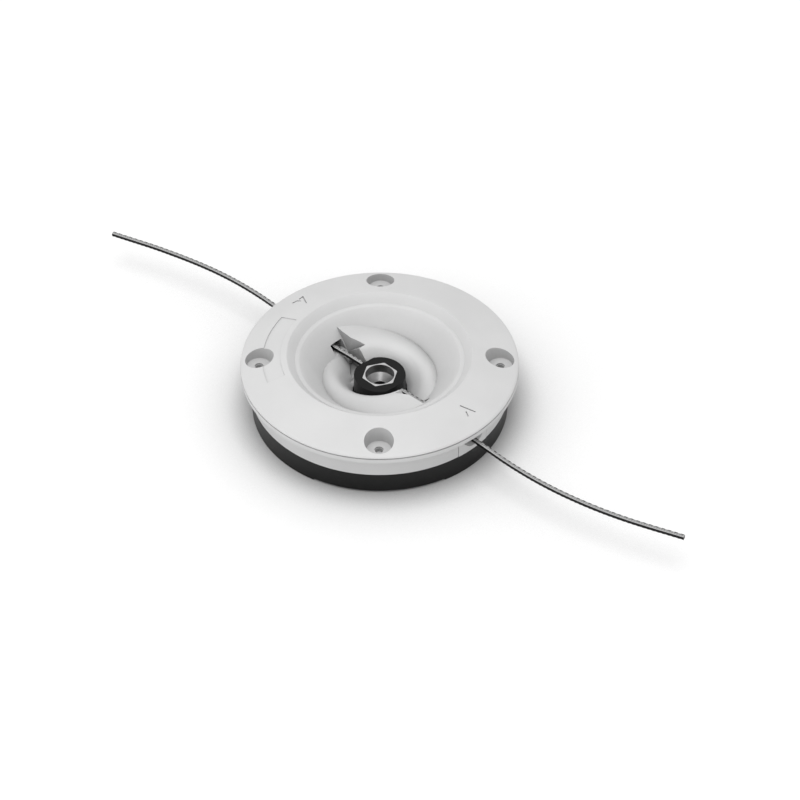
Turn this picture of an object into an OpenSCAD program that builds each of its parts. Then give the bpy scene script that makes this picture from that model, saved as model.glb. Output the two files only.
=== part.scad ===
// Fixed line trimmer head, lying on its tool side with the ground side up.
// The origin is on the turning axis, at the height of the cover's rim.

/* [Flange and bowl] */
// Outside diameter of the ground-side flange
head_d = 150; // [148:1:154]
// Height of the flange's crest above the cover's rim
crest_z = 36.6; // [36:0.2:37.4]
// Wall thickness of the moulded housing
wall_t = 2.6; // [2.2:0.1:2.8]
// Radius of the circle that the four screw recesses lie on
recess_circle_r = 65; // [64:0.5:66]
// Depth of a screw recess below the flange
recess_depth = 6; // [4:0.5:6]

/* [Ramps] */
// Rise of a ramp along the hub, over its half turn
inner_rise = 15; // [14:0.1:15.5]
// Rise of a ramp along the bowl wall, over its half turn
outer_rise = 8.2; // [7:0.1:8.6]
// Radius of the ramps' inner crest, where they dip towards the hub
ramp_crest_r = 20.2; // [19.5:0.1:21]

/* [Cover and hub] */
// Height of the dark cover's outer wall
cover_h = 13.4; // [13:0.2:14]
// Height of the hub's top face
hub_top_z = 20.6; // [20:0.2:21.5]
// Radius of the hub at its top face
hub_r = 14; // [13.6:0.1:14.2]
// Width across flats of the hex nut
nut_af = 17; // [16:0.5:17]
// Nominal thread diameter of the nut
thread_d = 10; // [8:1:10]

/* [Clamps] */
// Distance of a clamp's pivot from the turning axis, along the line
pivot_x = 54; // [53:0.5:55]
// Distance of a clamp's pivot from the line's channel
pivot_y = 13; // [12.5:0.5:13.5]
// Diameter of the pivot pins
pin_d = 4; // [3:0.5:4]

/* [Fasteners] */
// Nominal diameter of the cover screws
screw_d = 4; // [3:0.5:4]

/* [Mowing line] */
// Diameter of the mowing line
line_d = 2.8; // [2:0.1:2.8]

/* [Quality] */
// Fineness of the round surfaces
fine = 96; // [48:12:144]

/* [Hidden] */
$fn = fine;

light_grey = [0.86, 0.86, 0.86];
dark_grey = [0.16, 0.16, 0.17];
bright_steel = [0.72, 0.72, 0.72];
line_grey = [0.55, 0.55, 0.55];

// The two halves of the head repeat after half a turn: side A points to the
// upper left of the view from the front, side B to the lower right
side_a = 135;
side_b = -45;
sides = [side_a, side_b];
recess_angles = [0, 90, 180, 270];

head_r = head_d / 2;
rim_z = 28.9;
rim_under_z = 25.9;
skirt_r = head_r - 4.5;
skirt_in_r = skirt_r - wall_t - 0.3;
crest_r = 50;
ledge_r = 45.5;
ledge_z = 32.4;
mouth_r = 43.3;
flange_drop = 0.26;

bowl_knee_r = 34.4;
bowl_knee_z = 23;
upper_slope = 1.03;
lower_slope = 1.16;

// Mouth of the base around the hub, and the seat of its sleeve on the cover
hub_hole_r = 14.9;
sleeve_r = 17.3;
sleeve_z = 7.2;
pocket_z = 9.6;

// Face of a ramp's end, which the mowing line runs beside
step_y = -3.8;
foot_inner_z = 10;
level_z = 19;
channel_z = 16.1;
// Along the wall a ramp comes up by this much in the first share of its
// turn, and is then level up to the second
foot_sink = 2.6;
foot_share = 0.28;
level_share = 0.4;
// Crown of a ramp between the hub and the wall: it grows over the first
// share of the turn, and shrinks again by dome_loss up to the end
dome = 3;
dome_share = 0.26;
dome_loss = 1.7;
dip = 6.4;
dip_floor_z = 8.8;
// Beside the wall a ramp curls up at its end
edge_w = 6.5;
edge_curl = 1.8;

// Screw bosses of the base, which stand on the cover's columns
boss_z = 14;
boss_r = 4.6;

floor_z = 3.6;
floor_top_z = 6.2;
lip_r = skirt_in_r - 0.1;
lip_top_z = 17.5;

insert_half = 8.8;
insert_in_r = 61;
// The inserts sit slightly into the cover below and the rim above
insert_seat = 0.1;
insert_low_z = cover_h - insert_seat;
insert_high_z = rim_under_z + insert_seat;

jaw_bottom_z = 15.5;
jaw_top_z = 24;
pin_bottom_z = 5;
pin_top_z = 28;
spring_wire = 1;
spring_r = 3.9;

nut_bottom_z = 4.6;
// Depths of the nut's counterbore and of the cone below it
nut_bore_deep = 5.3;
nut_cone_deep = 3.5;
// Free play around the screws and pins in the mouldings
hole_play = 0.03;

// Routes of the mowing lines, in a side's own axes: outwards, sideways, up
line_start_a = [13.2, 0, 19.5];
line_start_b = [16.4, 0.1, 19.5];
line_route = [
    [24, 0.4, 19.5], [33, 0.9, 19.4], [45, 0.9, 19.3], [58, 0.6, 19.1],
    [70, 0.4, 18.9], [82, 0.3, 18.8], [94, 0.2, 18.8], [105, 0.6, 18.8],
    [116, 1.5, 18.8], [127, 3.0, 18.8], [138, 5.1, 18.8], [149, 7.7, 18.8],
    [160, 10.8, 18.9], [170, 14.0, 19.1], [180, 17.6, 19.3],
    [188, 20.6, 19.5], [195.3, 23.3, 19.7]];

// Height of the flange's cone at radius r
function flange_z(r) = crest_z - flange_drop * (r - crest_r);

// Radius of the bowl wall at height z
function bowl_r(z) = z > bowl_knee_z
    ? bowl_knee_r + (z - bowl_knee_z) / upper_slope
    : bowl_knee_r - (bowl_knee_z - z) / lower_slope;

// Places the children in a side's own axes, with X outwards along its line
module at_side(angle) {
    rotate([0, 0, angle]) children();
}

module at_recesses(r = recess_circle_r) {
    for (angle = recess_angles)
        rotate([0, 0, angle]) translate([r, 0, 0]) children();
}

// Half of space on the side that a normal points to, as a large block
module half_space(point, azimuth, elevation, size = 30) {
    translate(point) rotate([0, 0, azimuth]) rotate([0, -elevation, 0])
        translate([0, -size, -size]) cube([2 * size, 2 * size, 2 * size]);
}

// Part of a ring between two angles either side of a side's line
module ring_sector(r_in, r_out, z_low, z_high, half_angle) {
    rotate([0, 0, -half_angle]) rotate_extrude(angle = 2 * half_angle)
        translate([r_in, z_low]) square([r_out - r_in, z_high - z_low]);
}

// Sections of the moulded housing

// Section of the flange, ledge, bowl wall and skirt
module housing_section() {
    under = wall_t + 0.1;
    polygon([
        [skirt_r - 0.3, cover_h], [skirt_r, rim_under_z],
        [head_r - 0.5, rim_under_z], [head_r, rim_under_z + 0.6],
        [head_r, rim_z], [head_r - 0.8, rim_z + 0.1],
        [head_r - 0.8, rim_z + 0.55], [head_r - 0.1, rim_z + 0.65],
        [head_r - 0.35, rim_z + 1.05], [head_r - 0.9, rim_z + 1.4],
        [head_r - 1.8, flange_z(head_r - 1.8)],
        [crest_r + 0.6, flange_z(crest_r + 0.6)],
        [crest_r, crest_z - 0.05], [crest_r - 0.5, crest_z - 0.35],
        [ledge_r, ledge_z], [mouth_r + 0.3, ledge_z - 0.2],
        [mouth_r - 0.2, ledge_z - 0.5],
        [bowl_knee_r, bowl_knee_z], [27.5, 15], [26, 12],
        [26, 9], [29, 9], [31, 14], [37, 21.4],
        [ledge_r - 0.2, ledge_z - under], [ledge_r + 2, ledge_z - 2.2],
        [crest_r + 1.3, crest_z - under - 0.4],
        [skirt_in_r, flange_z(skirt_in_r) - under],
        [skirt_in_r, cover_h]]);
}

// Angles of the ramp's rails, from its foot to its end
rail_angles = [0, 8, 16, 24, 31.9, 32.1, 42, 52, 62, 72, 82, 92, 102, 112,
               122, 132, 142, 152, 162.9, 163.1, 171, 180];
foot_angle = 32;
end_angle = 163;
dip_radii = [hub_hole_r - 0.1, 17.1, 18.6, ramp_crest_r];
dip_drops = [dip, 0.56 * dip, 0.22 * dip, 0.04 * dip];
outer_steps = 3;
edge_steps = 4;
rail_points = len(dip_radii) + outer_steps + edge_steps;
// The ramps reach this far into the wall
ramp_bite = 1.3;

function ramp_inner_z(a) = foot_inner_z + inner_rise * sin(a / 2);
function ramp_outer_z(a) =
    let (turn = a / 180,
         early = max(0, 1 - turn / foot_share),
         late = max(0, turn - level_share) / (1 - level_share))
    level_z - foot_sink * pow(early, 2) + outer_rise * pow(late, 1.5);
function ramp_wall_r(a) = bowl_r(ramp_outer_z(a));
function rail_r(a, k) =
    let (top_w = ramp_wall_r(a) - edge_w - ramp_crest_r,
         step = k - len(dip_radii) + 1)
    step < 1 ? dip_radii[k]
    : step <= outer_steps ? ramp_crest_r + top_w * step / outer_steps
    : ramp_crest_r + top_w + (edge_w + ramp_bite) * (step - outer_steps) / edge_steps;
function ramp_z(a, k) =
    let (turn = a / 180,
         inner = ramp_inner_z(a),
         wall_r = ramp_wall_r(a),
         part = max(0, (rail_r(a, k) - ramp_crest_r) / (wall_r - ramp_crest_r)),
         crown = 4 * (dome - dome_loss * turn) * min(1, turn / dome_share) * part * (1 - part),
         edge = max(0, (rail_r(a, k) - wall_r + edge_w) / (edge_w + ramp_bite)),
         lift = edge_curl * turn * edge * edge,
         drop = k < len(dip_radii) ? dip_drops[k] : 0)
    max(dip_floor_z, inner + (ramp_outer_z(a) - inner) * part + crown + lift - drop);
function ramp_under_z(a, k) =
    a < foot_angle || a > end_angle || k < 2
    ? sleeve_z
    : ramp_z(a, k) - wall_t;

// One ramp over its half turn, a shell with a solid foot, end and sleeve
module ramp() {
    k_last = rail_points - 1;
    a_last = len(rail_angles) - 1;
    below = len(rail_angles) * rail_points;
    top_points = [for (a = rail_angles, k = [0:k_last])
        [rail_r(a, k) * cos(a), rail_r(a, k) * sin(a), ramp_z(a, k)]];
    under_points = [for (a = rail_angles, k = [0:k_last])
        [rail_r(a, k) * cos(a), rail_r(a, k) * sin(a), ramp_under_z(a, k)]];
    function at(i, k) = i * rail_points + k;
    function pair(a, b, c, d) = [[a, b, c], [a, c, d]];
    polyhedron(concat(top_points, under_points), concat(
        [for (i = [0:a_last - 1], k = [0:k_last - 1])
            each pair(at(i, k), at(i + 1, k), at(i + 1, k + 1), at(i, k + 1))],
        [for (i = [0:a_last - 1], k = [0:k_last - 1])
            each pair(below + at(i, k), below + at(i, k + 1),
                      below + at(i + 1, k + 1), below + at(i + 1, k))],
        [for (i = [0:a_last - 1])
            each pair(at(i, 0), below + at(i, 0),
                      below + at(i + 1, 0), at(i + 1, 0))],
        [for (i = [0:a_last - 1])
            each pair(at(i, k_last), at(i + 1, k_last),
                      below + at(i + 1, k_last), below + at(i, k_last))],
        [for (k = [0:k_last - 1])
            each pair(at(0, k), at(0, k + 1),
                      below + at(0, k + 1), below + at(0, k))],
        [for (k = [0:k_last - 1])
            each pair(at(a_last, k), below + at(a_last, k),
                      below + at(a_last, k + 1), at(a_last, k + 1))]));
}

// Clears the line's way beside the end of a ramp, in that side's axes
module step_cut() {
    foot = [28.2, step_y - 0.09, 17];
    // straight face beside the line
    translate([0, step_y, channel_z]) cube([40, 0.05 - step_y, 20]);
    // leaning face behind it, bent back towards the hub, over a narrow slope
    // that rises to the hub
    intersection() {
        union() {
            half_space(foot, 90, 6.7);
            half_space(foot, 111.4, 4.8);
        }
        half_space(foot, 0, 48);
        translate([12, -14, channel_z]) cube([28, 14 + step_y + 0.01, 20]);
    }
}

// Pocket below the line, between the ramp's end and the next ramp's foot
module foot_pocket() {
    translate([0, 0, pocket_z]) linear_extrude(12)
        polygon([[11, step_y], [27.5, step_y], [25.7, -1.6], [20.1, 3],
                 [13.6, 7.1], [11, 8.6]]);
}

// Window in the bowl wall that the line comes through
module line_window() {
    translate([27.5, step_y, 17.7]) cube([12.5, 8.2, 5.1]);
}

// Screw bosses, each with the cup of its recess up to the flange above it
module screw_bosses() {
    intersection() {
        at_recesses() {
            translate([0, 0, boss_z]) cylinder(h = 13, r = boss_r);
            translate([0, 0, 24.4]) cylinder(h = 10, r = 9.2);
        }
        rotate_extrude() polygon([
            [40, 0], [skirt_r - 1, 0], [skirt_r - 1, flange_z(skirt_r - 1) - 0.7],
            [crest_r, flange_z(crest_r) - 0.7], [40, flange_z(crest_r) - 0.7]]);
    }
}

// Ribs under the flange, clear of the clamps and the screws
module flange_ribs() {
    for (angle = [22, 68, 112, 158])
        for (half = [0, 180])
            rotate([0, 0, angle + half]) translate([46, -0.8, 21])
                cube([skirt_in_r - 45.5, 1.6, 9]);
}

module base_housing() {
    color(light_grey) difference() {
        union() {
            rotate_extrude() housing_section();
            difference() {
                for (angle = sides) at_side(angle) ramp();
                for (angle = sides) at_side(angle) {
                    step_cut();
                    foot_pocket();
                }
            }
            screw_bosses();
            flange_ribs();
            for (angle = sides) at_side(angle) {
                // socket above the clamp's pin
                translate([pivot_x, pivot_y, jaw_top_z + 0.15])
                    cylinder(h = 9, r = pin_d / 2 + 1.8);
                // rounded post behind the window, which guides the line
                translate([37.8, -4.9, 15]) cylinder(h = 8.6, r = 2.6);
            }
        }
        translate([0, 0, -1]) cylinder(h = 40, r = hub_hole_r);
        for (angle = sides) at_side(angle) {
            line_window();
            // gap in the skirt for the outlet insert, and room behind it
            ring_sector(insert_in_r, skirt_r + 0.3, cover_h - 1,
                        insert_high_z, insert_half);
            ring_sector(insert_in_r - 0.3, skirt_in_r + 0.4, cover_h - 1.5,
                        insert_high_z - 0.8, insert_half + 1.6);
            translate([pivot_x, pivot_y, jaw_top_z])
                cylinder(h = pin_top_z - jaw_top_z, r = pin_d / 2 + hole_play);
        }
        at_recesses() {
            floor_of_recess = flange_z(recess_circle_r) - recess_depth;
            translate([0, 0, floor_of_recess])
                cylinder(h = recess_depth + 3, r1 = 6.6, r2 = 8.4);
            translate([0, 0, 13]) cylinder(h = 20, r = screw_d / 2 + hole_play);
            translate([0, 0, floor_of_recess - 0.9]) cylinder(h = 2, r = 2.4);
        }
    }
}

// Cover on the tool side, with the hub

module cover_section() {
    polygon([
        [12, floor_z], [20, floor_z], [20, 2], [22.6, 2], [22.6, floor_z],
        [skirt_r - 4.4, floor_z], [skirt_r - 3.6, 0.4],
        [skirt_r - 3.2, 0], [skirt_r - 1.1, 0], [skirt_r - 0.8, 0.4],
        [skirt_r - 0.3, cover_h], [lip_r, cover_h], [lip_r, lip_top_z - 0.4],
        [lip_r - 0.4, lip_top_z], [lip_r - 2.2, lip_top_z],
        [lip_r - 2.2, floor_top_z], [12, floor_top_z]]);
}

// Hub with a flat towards each line
module hub_tower() {
    intersection() {
        translate([0, 0, 1.6])
            cylinder(h = hub_top_z - 1.6, r1 = hub_r + 0.4, r2 = hub_r);
        rotate([0, 0, -51]) translate([-12.8, -20, 0]) cube([25.6, 40, 30]);
    }
}

// Teeth of the fixed side of the channel, as a plan outline
module anvil_outline() {
    tooth = 1.6;
    x0 = 43.6;
    y0 = -0.62;
    polygon(concat(
        [[53.2, -4], [41.5, -4], [41.5, -1.6]],
        [for (i = [0:5]) each [[x0 + i * tooth, y0 - 0.7],
                               [x0 + (i + 0.85) * tooth, y0]]],
        [[53.2, -1.4]]));
}

module line_channel() {
    translate([0, 0, floor_top_z - 0.5]) linear_extrude(17.5) anvil_outline();
    translate([41.5, -1.2, floor_top_z - 0.5]) cube([16.5, 3.1, 11.9]);
}

module pivot_boss() {
    translate([pivot_x, pivot_y, floor_z]) {
        cylinder(h = 5.2, r = 5.2);
        cylinder(h = jaw_bottom_z - 0.15 - floor_z, r = 3.1);
    }
    // post that holds the spring's lower leg
    translate([pivot_x - 10.4, pivot_y - 1.7, floor_z]) cylinder(h = 8, r = 1.3);
}

module cover_ribs() {
    // inside, clear of the bowl and of the clamps
    for (angle = [20, 40, 60, 75, 105, 165])
        for (half = [0, 180])
            rotate([0, 0, angle + half]) translate([36, -0.8, floor_z])
                cube([lip_r - 37, 1.6, 5.6]);
    // below, on the tool side
    for (angle = [15:30:345]) rotate([0, 0, angle])
        translate([21, -0.9, 1.2]) cube([skirt_r - 25, 1.8, floor_z - 1]);
}

// Columns that the base's screw bosses stand on, clear of its skirt
module screw_columns() {
    intersection() {
        at_recesses() {
            translate([0, 0, floor_z]) cylinder(h = boss_z + 1 - floor_z, r = boss_r);
            translate([0, 0, 0.8]) cylinder(h = 4, r = 5.4);
        }
        rotate_extrude() polygon([
            [40, 0], [skirt_r - 1.1, 0], [skirt_r - 1.1, cover_h - 0.3],
            [lip_r - 0.3, cover_h - 0.3], [lip_r - 0.3, 20], [40, 20]]);
    }
}

module tool_side_cover() {
    color(dark_grey) difference() {
        union() {
            rotate_extrude() cover_section();
            hub_tower();
            // ring that the base's sleeve sits on
            difference() {
                cylinder(h = sleeve_z, r = sleeve_r + 0.3);
                translate([0, 0, -1]) cylinder(h = floor_z + 1.4, r = 40);
            }
            screw_columns();
            cover_ribs();
            for (angle = sides) at_side(angle) {
                line_channel();
                pivot_boss();
            }
        }
        // hex pocket, shaft hole and the thrust washer's recess
        translate([0, 0, nut_bottom_z]) rotate([0, 0, 16])
            cylinder(h = 20, r = nut_af / sqrt(3), $fn = 6);
        translate([0, 0, -1]) cylinder(h = 20, r = thread_d / 2 + 0.3);
        at_recesses() {
            translate([0, 0, -1]) cylinder(h = 20, r = screw_d / 2 + 0.2);
            translate([0, 0, -1]) cylinder(h = 5.5, r = 3.7);
            // room in the lip for the base's boss
            translate([0, 0, boss_z]) cylinder(h = 8, r = boss_r + 0.25);
        }
        for (angle = sides) at_side(angle) {
            translate([pivot_x, pivot_y, pin_bottom_z])
                cylinder(h = 20, r = pin_d / 2 + hole_play);
            // the lip is open at the outlet insert
            ring_sector(insert_in_r - 0.2, head_r, insert_low_z, 19,
                        insert_half + 1.7);
        }
        // two shallow notches in the rim, front and back
        for (angle = [90, 270]) rotate([0, 0, angle])
            rotate([0, 0, -30]) rotate_extrude(angle = 60)
                translate([60, -1]) square([20, 2.3]);
    }
}

// Nut that the tool's spindle screws into
module hex_nut() {
    nut_h = hub_top_z - nut_bottom_z;
    color(bright_steel) difference() {
        intersection() {
            translate([0, 0, nut_bottom_z]) rotate([0, 0, 16])
                cylinder(h = nut_h, r = (nut_af - hole_play) / sqrt(3), $fn = 6);
            translate([0, 0, nut_bottom_z]) cylinder(h = nut_h, r1 = 12, r2 = 9.6);
        }
        translate([0, 0, nut_bottom_z - 1]) cylinder(h = 30, r = thread_d / 2 - 0.75);
        translate([0, 0, hub_top_z - nut_bore_deep]) cylinder(h = 8, r = 7.9);
        translate([0, 0, hub_top_z - nut_bore_deep - nut_cone_deep])
            cylinder(h = nut_cone_deep + 0.01, r1 = thread_d / 2 - 0.3, r2 = 7.9);
        translate([0, 0, nut_bottom_z - 0.01])
            cylinder(h = 0.8, r1 = thread_d / 2 + 0.1, r2 = thread_d / 2 - 0.76);
    }
}

// Inserts at the outlets

// Half width, middle and heights of the mouth at a distance from the axis. It
// opens upwards, and is widest right under the rim.
mouth_x = [insert_in_r - 1, 62.5, 64.5, 66.5, 68.2, 69.5, 72];
mouth_half = [1.9, 1.9, 2.6, 4.1, 6.0, 8.0, 10.6];
mouth_mid = [19.1, 19.1, 19.8, 21.4, 23.4, 25.2, 27.4];
mouth_down = [1.8, 1.8, 2.5, 4.1, 6.5, 9.1, 12.7];
mouth_up = [1.8, 1.8, 2.4, 3, 3, 3, 3];
mouth_sides = 20;

// Flared way for the line through an insert
module insert_mouth() {
    line_y = 0.5;
    points = [for (i = [0:len(mouth_x) - 1], j = [0:mouth_sides - 1])
        let (turn = 360 * j / mouth_sides, up = sin(turn))
        [mouth_x[i], line_y + mouth_half[i] * cos(turn),
         mouth_mid[i] + (up > 0 ? mouth_up[i] : mouth_down[i]) * up]];
    last = (len(mouth_x) - 1) * mouth_sides;
    polyhedron(points, concat(
        [[for (j = [0:mouth_sides - 1]) j]],
        [[for (j = [0:mouth_sides - 1]) last + mouth_sides - 1 - j]],
        [for (i = [0:len(mouth_x) - 2], j = [0:mouth_sides - 1])
            let (a = i * mouth_sides + j,
                 b = i * mouth_sides + (j + 1) % mouth_sides)
            each [[a, a + mouth_sides, b + mouth_sides],
                  [a, b + mouth_sides, b]]]));
}

module outlet_insert() {
    seam = 0.28;
    color(light_grey) difference() {
        union() {
            // outer block, flush with the skirt
            ring_sector(insert_in_r + 2, skirt_r - 0.15, insert_low_z,
                        insert_high_z, insert_half - seam);
            // shoulders that hold it behind the skirt
            ring_sector(insert_in_r, skirt_in_r + 0.25, insert_low_z + 0.4,
                        insert_high_z - 0.9, insert_half + 1.5);
        }
        insert_mouth();
    }
}

// Clamps that grip the lines

module jaw_outline() {
    tooth = 1.6;
    x0 = 43.9;
    y0 = 2.45;
    difference() {
        union() {
            translate([pivot_x, pivot_y]) circle(r = 4.4);
            polygon(concat(
                [[pivot_x - 3.9, pivot_y + 2], [42.6, 7.4], [42.6, 4]],
                [for (i = [0:3]) each [[x0 + i * tooth, y0 + 0.9],
                                       [x0 + (i + 0.85) * tooth, y0]]],
                [[51.2, 4], [pivot_x + 3.6, pivot_y - 2.5]]));
        }
        translate([pivot_x, pivot_y]) circle(r = pin_d / 2 + 0.05);
    }
}

module clamp_jaw() {
    color(dark_grey) {
        translate([0, 0, jaw_bottom_z])
            linear_extrude(jaw_top_z - jaw_bottom_z) jaw_outline();
        // peg that the spring's upper leg pushes on
        translate([pivot_x - 5.55, pivot_y - 2.05, jaw_bottom_z - 2.9])
            cylinder(h = 3, r = 0.9);
    }
}

module jaw_pin() {
    color(bright_steel) translate([pivot_x, pivot_y, pin_bottom_z]) {
        cylinder(h = pin_top_z - pin_bottom_z - 0.4, r = pin_d / 2);
        translate([0, 0, pin_top_z - pin_bottom_z - 0.4])
            cylinder(h = 0.4, r1 = pin_d / 2, r2 = pin_d / 2 - 0.4);
    }
}

// Tubes along a line of points

function tangent(points, i) =
    let (a = points[max(0, i - 1)], b = points[min(len(points) - 1, i + 1)])
    (b - a) / norm(b - a);
function sideways(t) = let (s = cross([0, 0, 1], t)) s / norm(s);

// A closed tube of even radius along points that never run straight up
module tube(points, r, round_sides) {
    n = len(points);
    rings = [for (i = [0:n - 1])
        let (t = tangent(points, i), s = sideways(t), u = cross(t, s))
        for (j = [0:round_sides - 1])
            let (turn = 360 * j / round_sides)
            points[i] + r * cos(turn) * s + r * sin(turn) * u];
    last = (n - 1) * round_sides;
    polyhedron(rings, concat(
        [[for (j = [0:round_sides - 1]) j]],
        [[for (j = [0:round_sides - 1]) last + round_sides - 1 - j]],
        [for (i = [0:n - 2], j = [0:round_sides - 1])
            let (a = i * round_sides + j,
                 b = i * round_sides + (j + 1) % round_sides)
            each [[a, a + round_sides, b + round_sides],
                  [a, b + round_sides, b]]]));
}

// Torsion spring around the pivot boss, with one leg on the cover's post and
// the other on the jaw's peg
spring_start = 262;
spring_sweep = 1314;
spring_steps = 60;
spring_low_z = 9.6;
spring_rise = 4.3;
function coil_point(i) =
    let (part = i / spring_steps, a = spring_start + spring_sweep * part)
    [pivot_x + spring_r * cos(a), pivot_y + spring_r * sin(a),
     spring_low_z + spring_rise * part];

module jaw_spring() {
    coil = [for (i = [0:spring_steps]) coil_point(i)];
    last = coil[spring_steps];
    leg_low = [[pivot_x - 12.6, pivot_y - 3.6, spring_low_z],
               [pivot_x - 4, pivot_y - 3.9, spring_low_z]];
    leg_high = [last + [-1, -1, 0], last + [-5.4, -5.4, 0]];
    color(bright_steel)
        tube(concat(leg_low, coil, leg_high), spring_wire / 2, 8);
}

// Four screws, put in from the tool side
module cover_screw() {
    head_r1 = 3.5;
    head_z = 1.8;
    seat_z = 4.5;
    tip_z = 24.4;
    difference() {
        union() {
            translate([0, 0, head_z]) cylinder(h = 0.6, r1 = head_r1 - 0.5, r2 = head_r1);
            translate([0, 0, head_z + 0.6])
                cylinder(h = seat_z - head_z - 0.6, r = head_r1);
            translate([0, 0, seat_z]) cylinder(h = tip_z - seat_z - 1, r = screw_d / 2);
            translate([0, 0, tip_z - 1])
                cylinder(h = 1, r1 = screw_d / 2, r2 = screw_d / 2 - 0.8);
        }
        // star drive
        for (turn = [0:60:120]) translate([0, 0, head_z - 1]) rotate([0, 0, turn])
            translate([-1.9, -0.55, 0]) cube([3.8, 1.1, 2.6]);
    }
}

module cover_screws() {
    color(bright_steel) at_recesses() cover_screw();
}

// Mowing lines

// A point between route points i and i + 1, on a smooth curve through them
function route_point(points, i, f) =
    let (a = points[max(0, i - 1)], b = points[i],
         c = points[i + 1], d = points[min(len(points) - 1, i + 2)])
    0.5 * (2 * b + (c - a) * f + (2 * a - 5 * b + 4 * c - d) * f * f
           + (3 * b - a - 3 * c + d) * f * f * f);
function smooth_route(points) = concat(
    [for (i = [0:len(points) - 2], f = [0, 0.5]) route_point(points, i, f)],
    [points[len(points) - 1]]);

module mowing_line(start) {
    color(line_grey)
        tube(smooth_route(concat([start], line_route)), line_d / 2, 8);
}

base_housing();
tool_side_cover();
hex_nut();
at_side(side_a) outlet_insert();  // outlet_insert_a
at_side(side_b) outlet_insert();  // outlet_insert_b
at_side(side_a) clamp_jaw();  // clamp_jaw_a
at_side(side_b) clamp_jaw();  // clamp_jaw_b
at_side(side_a) jaw_pin();  // jaw_pin_a
at_side(side_b) jaw_pin();  // jaw_pin_b
at_side(side_a) jaw_spring();  // jaw_spring_a
at_side(side_b) jaw_spring();  // jaw_spring_b
cover_screws();
at_side(side_a) mowing_line(line_start_a);  // mowing_line_a
at_side(side_b) mowing_line(line_start_b);  // mowing_line_b
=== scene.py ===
import math

import bmesh
import bpy
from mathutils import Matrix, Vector


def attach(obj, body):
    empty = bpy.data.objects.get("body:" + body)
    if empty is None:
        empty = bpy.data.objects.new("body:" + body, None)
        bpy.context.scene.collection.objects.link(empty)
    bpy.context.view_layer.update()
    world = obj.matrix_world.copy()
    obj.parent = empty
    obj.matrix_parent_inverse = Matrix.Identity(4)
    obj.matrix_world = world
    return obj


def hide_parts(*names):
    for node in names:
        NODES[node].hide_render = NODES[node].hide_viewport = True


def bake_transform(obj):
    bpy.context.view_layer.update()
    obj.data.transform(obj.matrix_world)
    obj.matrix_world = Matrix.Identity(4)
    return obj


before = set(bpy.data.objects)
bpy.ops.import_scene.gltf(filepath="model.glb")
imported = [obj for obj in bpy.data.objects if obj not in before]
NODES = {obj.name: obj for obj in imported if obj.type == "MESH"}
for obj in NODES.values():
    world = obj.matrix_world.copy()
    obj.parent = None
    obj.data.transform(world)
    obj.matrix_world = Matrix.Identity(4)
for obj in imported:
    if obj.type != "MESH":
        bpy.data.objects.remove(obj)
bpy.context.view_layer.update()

HEAD = "head"
MM = 0.001

# Side A points to the upper left of the photograph, side B to the lower right
SIDE_A = math.radians(135)
SIDE_B = math.radians(-45)


# Small helpers

def leave_all_unselected():
    if bpy.context.object and bpy.context.object.mode != "OBJECT":
        bpy.ops.object.mode_set(mode="OBJECT")
    bpy.ops.object.select_all(action="DESELECT")


def pick(piece):
    leave_all_unselected()
    piece.select_set(True)
    bpy.context.view_layer.objects.active = piece


def at_side(side, x, y, z):
    """A point given in a side's own axes, in millimetres, as a place in metres."""
    return Vector((x * math.cos(side) - y * math.sin(side),
                   x * math.sin(side) + y * math.cos(side), z)) * MM


# Camera

def set_camera():
    height = math.radians(42.8)
    back = Vector((0, -math.cos(height), math.sin(height)))
    right = Vector((1, 0, 0))
    up = Vector((0, math.sin(height), math.cos(height)))
    rim_centre = Vector((0, 0, 30 * MM))
    place = rim_centre + (back * 1345.5 + right * 10.93 - up * 20.72) * MM
    bpy.ops.object.camera_add(location=place, rotation=(math.pi / 2 - height, 0, 0))
    camera = bpy.context.object
    camera.name = "photo_camera"
    camera.data.lens = 112.5
    camera.data.sensor_width = 36
    camera.data.clip_start = 0.05
    camera.data.clip_end = 20
    bpy.context.scene.camera = camera


# Mowing lines

LINE_START = {"a": (13.2, 0, 19.5), "b": (16.4, 0.1, 19.5)}
LINE_ROUTE = [
    (24, 0.4, 19.5), (33, 0.9, 19.4), (45, 0.9, 19.3), (58, 0.6, 19.1),
    (70, 0.4, 18.9), (82, 0.3, 18.8), (94, 0.2, 18.8), (105, 0.6, 18.8),
    (116, 1.5, 18.8), (127, 3.0, 18.8), (138, 5.1, 18.8), (149, 7.7, 18.8),
    (160, 10.8, 18.9), (170, 14.0, 19.1), (180, 17.6, 19.3),
    (188, 20.6, 19.5), (195.3, 23.3, 19.7)]
LINE_D = 2.8
# Half width across the line's flats, in parts of its radius
LINE_FLAT = 0.83
LINE_SIDES = 24
# Rings of the line's mesh: their gap in millimetres, and how many make one
# step of the ladder on its top, one dark dash behind it and one scallop below;
# the ladder's notches and the dashes are painted darker as shade
RING_GAP = 0.34
LADDER_RINGS = 4
DASH_RINGS = 10
SCALLOP_RINGS = 8


def smooth_line(points, steps):
    """Places on one smooth curve through the points, with steps to each stretch."""
    curve = []
    for i in range(len(points) - 1):
        a, b = points[max(0, i - 1)], points[i]
        c, d = points[i + 1], points[min(len(points) - 1, i + 2)]
        for k in range(steps):
            f = k / steps
            curve.append(0.5 * (2 * b + (c - a) * f + (2 * a - 5 * b + 4 * c - d) * f * f
                                + (3 * b - a - 3 * c + d) * f ** 3))
    return curve + [points[-1]]


def evenly_spaced(curve, gap):
    out, left = [curve[0]], gap
    for a, b in zip(curve, curve[1:]):
        stretch = (b - a).length
        while left <= stretch:
            out.append(a + (b - a) * (left / stretch))
            left += gap
        left -= stretch
    if (out[-1] - curve[-1]).length < 0.4 * gap:
        out[-1] = curve[-1]
    else:
        out.append(curve[-1])
    return out


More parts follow.
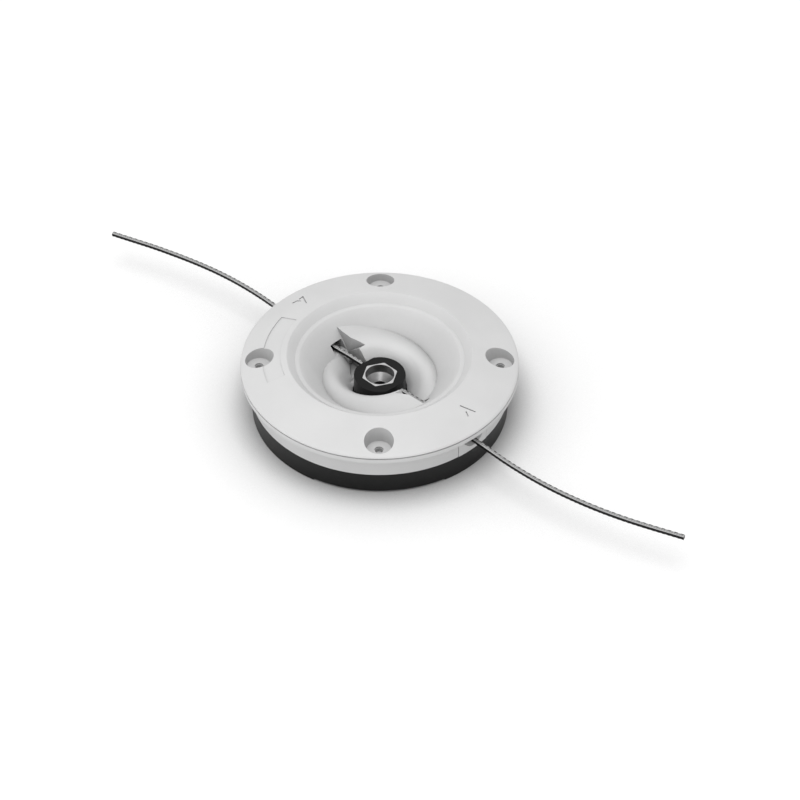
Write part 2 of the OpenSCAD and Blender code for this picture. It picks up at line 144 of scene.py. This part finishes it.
def line_section(turn):
    """Distance from the line's middle to its skin: a rounded square."""
    square = 1 / max(abs(math.cos(turn)), abs(math.sin(turn)))
    return min(LINE_FLAT * square, 1)


def line_teeth_and_painted_light(ring, turn):
    """Depth of the teeth and the grey at a place on the line's skin: the nylon's own grey on top,
    with the sides and underside painted near black as shade, the ladder's notches and the dashes
    painted darker as shade, and a pale strip on the forward top edge as a painted highlight.
    """
    angle = math.degrees(turn)
    # Sides and underside: painted shade, near black, with scallops
    if angle < 38 or angle > 150:
        scallop = 0.09 * (0.5 - 0.5 * math.cos(2 * math.pi * ring / SCALLOP_RINGS))
        return scallop, 0.003
    # A pale strip on the forward top edge: painted highlight
    if 46 < angle < 66:
        return 0, 0.60
    # Dark dashes on the back top edge: painted shade
    if angle > 110 and ring % DASH_RINGS < DASH_RINGS / 2:
        return -0.05, 0.04
    # The ladder's notches are painted darker as shade; between them is the nylon's own grey
    tooth = (ring + 0.8 * math.cos(turn)) % LADDER_RINGS < 1.5
    return (0.05, 0.24) if tooth else (0, 0.38)


def make_mowing_line(name, side, front):
    """A cut length of line whose skin carries painted shade and a painted highlight; front is 1
    where its across axis points forwards, which turns the highlight to the forward top edge.
    """
    points = [at_side(side, *p) for p in [LINE_START[name]] + LINE_ROUTE]
    path = evenly_spaced(smooth_line(points, 24), RING_GAP * MM)
    radius = LINE_D / 2 * MM
    mesh = bmesh.new()
    tone = mesh.verts.layers.float_color.new("nylon_grey_and_painted_light")
    ends = []
    for i, place in enumerate(path):
        ahead = (path[min(i + 1, len(path) - 1)] - path[max(i - 1, 0)]).normalized()
        across = Vector((0, 0, 1)).cross(ahead).normalized()
        above = ahead.cross(across)
        ring = []
        for j in range(LINE_SIDES):
            turn = 2 * math.pi * (j + 0.5) / LINE_SIDES - math.pi / 2
            depth, grey = line_teeth_and_painted_light(i, turn)
            r = radius * (line_section(turn) - depth)
            point = mesh.verts.new(place + across * front * r * math.cos(turn)
                                   + above * r * math.sin(turn))
            point[tone] = (grey, grey, grey, 1)
            ring.append(point)
        if ends:
            for j in range(LINE_SIDES):
                mesh.faces.new((ends[j], ring[j], ring[(j + 1) % LINE_SIDES],
                                ends[(j + 1) % LINE_SIDES]))
        else:
            mesh.faces.new(ring)
        ends = ring
    mesh.faces.new(list(reversed(ends)))
    bmesh.ops.recalc_face_normals(mesh, faces=mesh.faces)
    data = bpy.data.meshes.new("mowing_line_" + name + "_cut")
    mesh.to_mesh(data)
    mesh.free()
    line = bpy.data.objects.new("mowing_line_" + name + "_cut", data)
    bpy.context.scene.collection.objects.link(line)
    pick(line)
    bpy.ops.object.shade_smooth_by_angle(angle=math.radians(40))
    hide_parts("mowing_line_" + name)
    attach(line, HEAD)
    return line


# Finishes

# The bowl's wall ends at this radius, and the flange starts at its crest
BOWL_R = 44
CREST_R = 50


def new_finish(name):
    finish = bpy.data.materials.new(name)
    finish.use_nodes = True
    return finish, finish.node_tree.nodes, finish.node_tree.links


def grain(nodes, links, shader, place, size, height, detail=3):
    """Moulded grain: fine bumps of a size, in millimetres across, and a height."""
    noise = nodes.new("ShaderNodeTexNoise")
    noise.inputs["Scale"].default_value = 1000 / size
    noise.inputs["Detail"].default_value = detail
    bump = nodes.new("ShaderNodeBump")
    bump.inputs["Strength"].default_value = 0.35
    bump.inputs["Distance"].default_value = height * MM
    links.new(place.outputs["Object"], noise.inputs["Vector"])
    links.new(noise.outputs["Fac"], bump.inputs["Height"])
    links.new(bump.outputs["Normal"], shader.inputs["Normal"])
    return noise


def shades(nodes, links, place, size, dark, light):
    """A colour that drifts slowly between two greys."""
    noise = nodes.new("ShaderNodeTexNoise")
    noise.inputs["Scale"].default_value = 1000 / size
    noise.inputs["Detail"].default_value = 4
    ramp = nodes.new("ShaderNodeValToRGB")
    ramp.color_ramp.elements[0].position = 0.35
    ramp.color_ramp.elements[0].color = (*dark, 1)
    ramp.color_ramp.elements[1].position = 0.65
    ramp.color_ramp.elements[1].color = (*light, 1)
    links.new(place.outputs["Object"], noise.inputs["Vector"])
    links.new(noise.outputs["Fac"], ramp.inputs["Fac"])
    return ramp


def paint_shade_in_hollows(nodes, links, place, colour, reach, deepest, rim_share):
    """The colour with painted shade: darker in creases and hollow places that are narrower than the
    reach in millimetres; beyond the bowl only the share of it for the rim is left."""
    hollow = nodes.new("ShaderNodeAmbientOcclusion")
    hollow.only_local = True
    hollow.samples = 4
    hollow.inputs["Distance"].default_value = reach * MM
    curve = nodes.new("ShaderNodeValToRGB")
    curve.color_ramp.elements[0].position = 0.15
    curve.color_ramp.elements[0].color = (deepest, deepest, deepest, 1)
    curve.color_ramp.elements[1].position = 0.9
    mix = nodes.new("ShaderNodeMix")
    mix.data_type = "RGBA"
    mix.blend_type = "MULTIPLY"
    flat = nodes.new("ShaderNodeVectorMath")
    flat.operation = "MULTIPLY"
    flat.inputs[1].default_value = (1, 1, 0)
    from_axis = nodes.new("ShaderNodeVectorMath")
    from_axis.operation = "LENGTH"
    share = nodes.new("ShaderNodeMapRange")
    share.inputs["From Min"].default_value = BOWL_R * MM
    share.inputs["From Max"].default_value = CREST_R * MM
    share.inputs["To Min"].default_value = 1
    share.inputs["To Max"].default_value = rim_share
    links.new(place.outputs["Object"], flat.inputs[0])
    links.new(flat.outputs["Vector"], from_axis.inputs[0])
    links.new(from_axis.outputs["Value"], share.inputs["Value"])
    links.new(share.outputs["Result"], mix.inputs["Factor"])
    links.new(hollow.outputs["AO"], curve.inputs["Fac"])
    links.new(colour, mix.inputs["A"])
    links.new(curve.outputs["Color"], mix.inputs["B"])
    return mix.outputs["Result"]


def moulded_plastic(name, dark, light, gloss, ior=1.42, grain_size=0.5, grain_height=0.02,
                    painted_hollow_shade=None):
    finish, nodes, links = new_finish(name)
    shader = nodes["Principled BSDF"]
    place = nodes.new("ShaderNodeTexCoord")
    ramp = shades(nodes, links, place, 30, dark, light)
    colour = ramp.outputs["Color"]
    # Painted shade in creases and hollow places, where it is asked for
    if painted_hollow_shade:
        colour = paint_shade_in_hollows(nodes, links, place, colour, *painted_hollow_shade)
    links.new(colour, shader.inputs["Base Color"])
    shader.inputs["Roughness"].default_value = gloss
    shader.inputs["IOR"].default_value = ior
    grain(nodes, links, shader, place, grain_size, grain_height)
    return finish


def zinc_steel(name, grey, gloss):
    finish, nodes, links = new_finish(name)
    shader = nodes["Principled BSDF"]
    place = nodes.new("ShaderNodeTexCoord")
    ramp = shades(nodes, links, place, 6, (grey * 0.92,) * 3, (grey,) * 3)
    links.new(ramp.outputs["Color"], shader.inputs["Base Color"])
    shader.inputs["Metallic"].default_value = 1
    shader.inputs["Roughness"].default_value = gloss
    grain(nodes, links, shader, place, 0.3, 0.006)
    return finish


def line_nylon(name):
    """Grey nylon with painted shade and a painted highlight: the greys are painted on the line's own
    points.
    """
    finish, nodes, links = new_finish(name)
    shader = nodes["Principled BSDF"]
    place = nodes.new("ShaderNodeTexCoord")
    tone = nodes.new("ShaderNodeAttribute")
    tone.attribute_name = "nylon_grey_and_painted_light"
    links.new(tone.outputs["Color"], shader.inputs["Base Color"])
    shader.inputs["Roughness"].default_value = 0.45
    shader.inputs["IOR"].default_value = 1.25
    grain(nodes, links, shader, place, 0.4, 0.02)
    return finish


def turned_steel(name, grey, gloss):
    """Steel turned on a lathe: its fine rings draw the light out across them."""
    finish, nodes, links = new_finish(name)
    shader = nodes["Principled BSDF"]
    place = nodes.new("ShaderNodeTexCoord")
    ramp = shades(nodes, links, place, 4, (grey * 0.85,) * 3, (grey,) * 3)
    round_the_axis = nodes.new("ShaderNodeTangent")
    round_the_axis.direction_type = "RADIAL"
    round_the_axis.axis = "Z"
    links.new(ramp.outputs["Color"], shader.inputs["Base Color"])
    links.new(round_the_axis.outputs["Tangent"], shader.inputs["Tangent"])
    shader.inputs["Metallic"].default_value = 1
    shader.inputs["Roughness"].default_value = gloss
    shader.inputs["Anisotropic"].default_value = 0.8
    return finish


def dress(piece, finish):
    piece.data.materials.clear()
    piece.data.materials.append(finish)


# Mouldings and the nut

# Radius that the nut's bored and turned faces lie within
NUT_BORE_R = 8.0


def soften(node, angle):
    """The node's own shape with its facets joined and smoothed, in the node's place."""
    cad = NODES[node]
    piece = bpy.data.objects.new(node + "_moulding", cad.data.copy())
    bpy.context.scene.collection.objects.link(piece)
    pick(piece)
    bpy.ops.object.mode_set(mode="EDIT")
    bpy.ops.mesh.select_all(action="SELECT")
    bpy.ops.mesh.remove_doubles(threshold=0.000002)
    bpy.ops.mesh.customdata_custom_splitnormals_clear()
    bpy.ops.object.mode_set(mode="OBJECT")
    bpy.ops.object.shade_smooth_by_angle(angle=math.radians(angle))
    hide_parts(node)
    return piece


# Marks in the flange: a bare sunk panel, and a generic arrow at each line

CREST_Z = 36.6
FLANGE_DROP = 0.26
PANEL_DEPTH = 0.45
STROKE_DEPTH = 0.75
PANEL_R = (53.2, 63)
PANEL_START = -161
PANEL_TURN = 50.5
PANEL_CORNER = 1.5
STROKE_W = 0.75
STROKES = [
    [(-48.0, 45.8), (-45.9, 47.3), (-44.0, 46.7)],
    [(-44.5, 49.0), (-42.8, 51.1), (-40.7, 43.8)],
    [(42.8, -39.8), (50.2, -42.2)],
    [(45.7, -43.3), (46.5, -45.6)]]


def cone_z(r):
    """Height of the flange's cone, in millimetres."""
    return CREST_Z - FLANGE_DROP * (r - CREST_R)


def spun(name, outline, start, turn, steps):
    """A closed outline of radii and heights, spun about the axis from a start angle."""
    leave_all_unselected()
    bpy.ops.mesh.primitive_plane_add(size=2 * MM)
    piece = bpy.context.object
    piece.name = name
    for point, (r, z) in zip(piece.data.vertices, outline):
        point.co = at_side(math.radians(start), r, 0, z)
    bpy.ops.object.mode_set(mode="EDIT")
    bpy.ops.mesh.select_all(action="SELECT")
    if turn == 360:
        bpy.ops.mesh.delete(type="ONLY_FACE")
        bpy.ops.mesh.select_all(action="SELECT")
    bpy.ops.mesh.spin(steps=steps, angle=math.radians(turn), center=(0, 0, 0), axis=(0, 0, 1))
    bpy.ops.mesh.select_all(action="SELECT")
    bpy.ops.mesh.remove_doubles(threshold=0.000002)
    bpy.ops.mesh.normals_make_consistent(inside=False)
    bpy.ops.object.mode_set(mode="OBJECT")
    return piece


def panel_stencil():
    """The panel's outline with round corners, tall enough to pass through the flange."""
    low, high = 20, 45
    inner, outer = PANEL_R
    panel = spun("panel_stencil", [(inner, low), (outer, low), (inner, high), (outer, high)],
                 PANEL_START, PANEL_TURN, 24)
    corners = [at_side(math.radians(PANEL_START + turn), r, 0, 0)
               for turn in (0, PANEL_TURN) for r in PANEL_R]
    pick(panel)
    bpy.ops.object.mode_set(mode="EDIT")
    mesh = bmesh.from_edit_mesh(panel.data)
    for edge in mesh.edges:
        upright = abs(edge.verts[0].co.z - edge.verts[1].co.z) > MM
        middle = (edge.verts[0].co + edge.verts[1].co) / 2
        middle.z = 0
        edge.select_set(upright and any((middle - c).length < 0.1 * MM for c in corners))
    bmesh.update_edit_mesh(panel.data)
    bpy.ops.mesh.bevel(offset=PANEL_CORNER * MM, segments=4, affect="EDGES")
    bpy.ops.object.mode_set(mode="OBJECT")
    return panel


def stroke_stencils():
    """Upright slabs, one for each straight stretch of the arrows."""
    slabs = []
    for stroke in STROKES:
        for (x0, y0), (x1, y1) in zip(stroke, stroke[1:]):
            length = math.hypot(x1 - x0, y1 - y0) + STROKE_W
            leave_all_unselected()
            bpy.ops.mesh.primitive_cube_add(
                size=1, location=Vector(((x0 + x1) / 2, (y0 + y1) / 2, 32)) * MM,
                rotation=(0, 0, math.atan2(y1 - y0, x1 - x0)),
                scale=(length * MM, STROKE_W * MM, 20 * MM))
            slab = bpy.context.object
            bpy.ops.object.transform_apply(location=True, rotation=True, scale=True)
            slabs.append(slab)
    return slabs


def combine(piece, other, how):
    """A boolean of the two, kept in the piece; the other one is removed."""
    pick(piece)
    cut = piece.modifiers.new(how.lower(), "BOOLEAN")
    cut.operation = how
    cut.solver = "EXACT"
    cut.object = other
    bpy.ops.object.modifier_apply(modifier=cut.name)
    bpy.data.objects.remove(other)


def sink_marks(piece, angle):
    """Sinks the panel and the arrows into the flange, as deep all over as its cone falls."""
    inner, outer = CREST_R - 4, CREST_R + 24
    stencils = [(panel_stencil(), PANEL_DEPTH)] + [(slab, STROKE_DEPTH) for slab in stroke_stencils()]
    for stencil, depth in stencils:
        layer = [(inner, cone_z(inner) - depth), (outer, cone_z(outer) - depth),
                 (inner, 42), (outer, 42)]
        combine(stencil, spun("cone_layer", layer, 0, 360, 180), "INTERSECT")
        combine(piece, stencil, "DIFFERENCE")
    pick(piece)
    bpy.ops.object.shade_smooth_by_angle(angle=math.radians(angle))


# Studio

TOP_POWER = 14.5
SIDE_POWER = 2.4
FRONT_POWER = 2.2
ROOM_LIGHT = 0.52


# Reach in metres and share of the soft shadow that lies round what stands on the floor
SHADOW_REACH = 0.09
SHADOW_DEPTH = 0.75
# The floor's own light, for the camera alone, from the middle out to the far floor
GLOW_STARTS = 0.35
GLOW_FULL = 1.6
GLOW_NEAR = 0.04
GLOW_FAR = 0.55


def floor_finish():
    finish, nodes, links = new_finish("white_floor")
    shader = nodes["Principled BSDF"]
    near = nodes.new("ShaderNodeAmbientOcclusion")
    near.samples = 4
    near.inputs["Distance"].default_value = SHADOW_REACH
    shade = nodes.new("ShaderNodeMix")
    shade.data_type = "RGBA"
    shade.blend_type = "MULTIPLY"
    shade.inputs["Factor"].default_value = SHADOW_DEPTH
    shade.inputs["A"].default_value = (0.96, 0.96, 0.96, 1)
    links.new(near.outputs["Color"], shade.inputs["B"])
    links.new(shade.outputs["Result"], shader.inputs["Base Color"])
    shader.inputs["Roughness"].default_value = 0.9
    shader.inputs["Specular IOR Level"].default_value = 0.1
    out = nodes["Material Output"]
    glow = nodes.new("ShaderNodeEmission")
    place = nodes.new("ShaderNodeTexCoord")
    from_middle = nodes.new("ShaderNodeVectorMath")
    from_middle.operation = "LENGTH"
    strength = nodes.new("ShaderNodeMapRange")
    strength.inputs["From Min"].default_value = GLOW_STARTS
    strength.inputs["From Max"].default_value = GLOW_FULL
    strength.inputs["To Min"].default_value = GLOW_NEAR
    strength.inputs["To Max"].default_value = GLOW_FAR
    links.new(place.outputs["Object"], from_middle.inputs[0])
    links.new(from_middle.outputs["Value"], strength.inputs["Value"])
    links.new(strength.outputs["Result"], glow.inputs["Strength"])
    seen = nodes.new("ShaderNodeLightPath")
    lift = nodes.new("ShaderNodeMixShader")
    none = nodes.new("ShaderNodeEmission")
    none.inputs["Strength"].default_value = 0
    total = nodes.new("ShaderNodeAddShader")
    links.new(seen.outputs["Is Camera Ray"], lift.inputs["Fac"])
    links.new(none.outputs["Emission"], lift.inputs[1])
    links.new(glow.outputs["Emission"], lift.inputs[2])
    links.new(shader.outputs["BSDF"], total.inputs[0])
    links.new(lift.outputs["Shader"], total.inputs[1])
    links.new(total.outputs["Shader"], out.inputs["Surface"])
    return finish


def soft_box(name, place, look_at, width, depth, power):
    bpy.ops.object.light_add(type="AREA", location=place)
    lamp = bpy.context.object
    lamp.name = name
    lamp.data.shape = "RECTANGLE"
    lamp.data.size = width
    lamp.data.size_y = depth
    lamp.data.energy = power
    aim = Vector(look_at) - Vector(place)
    lamp.rotation_euler = aim.to_track_quat("-Z", "Y").to_euler()
    return lamp


def set_studio():
    leave_all_unselected()
    bpy.ops.mesh.primitive_plane_add(size=14, location=(0, 0, 0))
    floor = bpy.context.object
    floor.name = "floor"
    floor.data.materials.append(floor_finish())
    soft_box("top_light", (-0.12, -0.05, 1.62), (0, 0, 0.02), 1.2, 1.2, TOP_POWER)
    soft_box("side_light", (-1.25, -0.75, 0.40), (0, 0, 0.02), 1.0, 0.6, SIDE_POWER)
    soft_box("front_light", (-0.05, -0.90, 1.30), (0, 0, 0.02), 0.6, 0.8, FRONT_POWER)
    world = bpy.data.worlds.new("white_room")
    bpy.context.scene.world = world
    world.use_nodes = True
    nodes, links = world.node_tree.nodes, world.node_tree.links
    sky = nodes["Background"]
    sky.inputs["Color"].default_value = (1, 1, 1, 1)
    sky.inputs["Strength"].default_value = ROOM_LIGHT
    seen_sky = nodes.new("ShaderNodeBackground")
    seen_sky.inputs["Color"].default_value = (1, 1, 1, 1)
    seen_sky.inputs["Strength"].default_value = 1
    path = nodes.new("ShaderNodeLightPath")
    mix = nodes.new("ShaderNodeMixShader")
    links.new(path.outputs["Is Camera Ray"], mix.inputs["Fac"])
    links.new(sky.outputs["Background"], mix.inputs[1])
    links.new(seen_sky.outputs["Background"], mix.inputs[2])
    links.new(mix.outputs["Shader"], nodes["World Output"].inputs["Surface"])
    bpy.context.scene.view_settings.view_transform = "Standard"


set_camera()

# The housing's light grey, with painted shade darkening its bowl, creases and hollow places
light_grey = moulded_plastic("light_grey_moulding", (0.63, 0.63, 0.63), (0.66, 0.66, 0.66), 0.5,
                             painted_hollow_shade=(32, 0.22, 0.5))
# The inserts' grey is the housing's, with stronger painted shade in their mouths and hollow places
insert_grey_deep_shade = moulded_plastic("light_grey_insert", (0.63, 0.63, 0.63), (0.66, 0.66, 0.66), 0.5,
                            painted_hollow_shade=(16, 0.1, 1))
black = moulded_plastic("black_moulding", (0.005, 0.005, 0.005), (0.007, 0.007, 0.007), 0.36,
                        ior=1.33)
steel = zinc_steel("zinc_steel", 0.85, 0.38)
# The bore's turned steel, its grey set darker than the rim's steel as painted shade inside the bore
bore_steel_painted_shade = turned_steel("turned_steel", 0.5, 0.28)
nylon = line_nylon("grey_nylon_line")

# Each line's front turns its painted highlight strip forwards
for line_name, line_side, line_front in (("a", SIDE_A, 1), ("b", SIDE_B, -1)):
    dress(make_mowing_line(line_name, line_side, line_front), nylon)

housing = soften("base_housing", 28)
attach(housing, HEAD)
sink_marks(housing, 28)
dress(housing, light_grey)
cover = soften("tool_side_cover", 28)
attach(cover, HEAD)
dress(cover, black)
for part in ("outlet_insert_a", "outlet_insert_b"):
    insert = soften(part, 28)
    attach(insert, HEAD)
    dress(insert, insert_grey_deep_shade)
for part in ("clamp_jaw_a", "clamp_jaw_b"):
    dress(NODES[part], black)
nut = soften("hex_nut", 28)
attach(nut, HEAD)
dress(nut, steel)
# Faces inside the bore get the darker steel, whose lower grey is painted shade
nut.data.materials.append(bore_steel_painted_shade)
for face in nut.data.polygons:
    inside = math.hypot(face.center.x, face.center.y) < NUT_BORE_R * MM
    face.material_index = 1 if inside else 0
for part in ("jaw_pin_a", "jaw_pin_b", "cover_screws"):
    dress(NODES[part], steel)
for side in ("a", "b"):
    spring = soften("jaw_spring_" + side, 60)
    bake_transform(spring)
    dress(spring, steel)

set_studio()
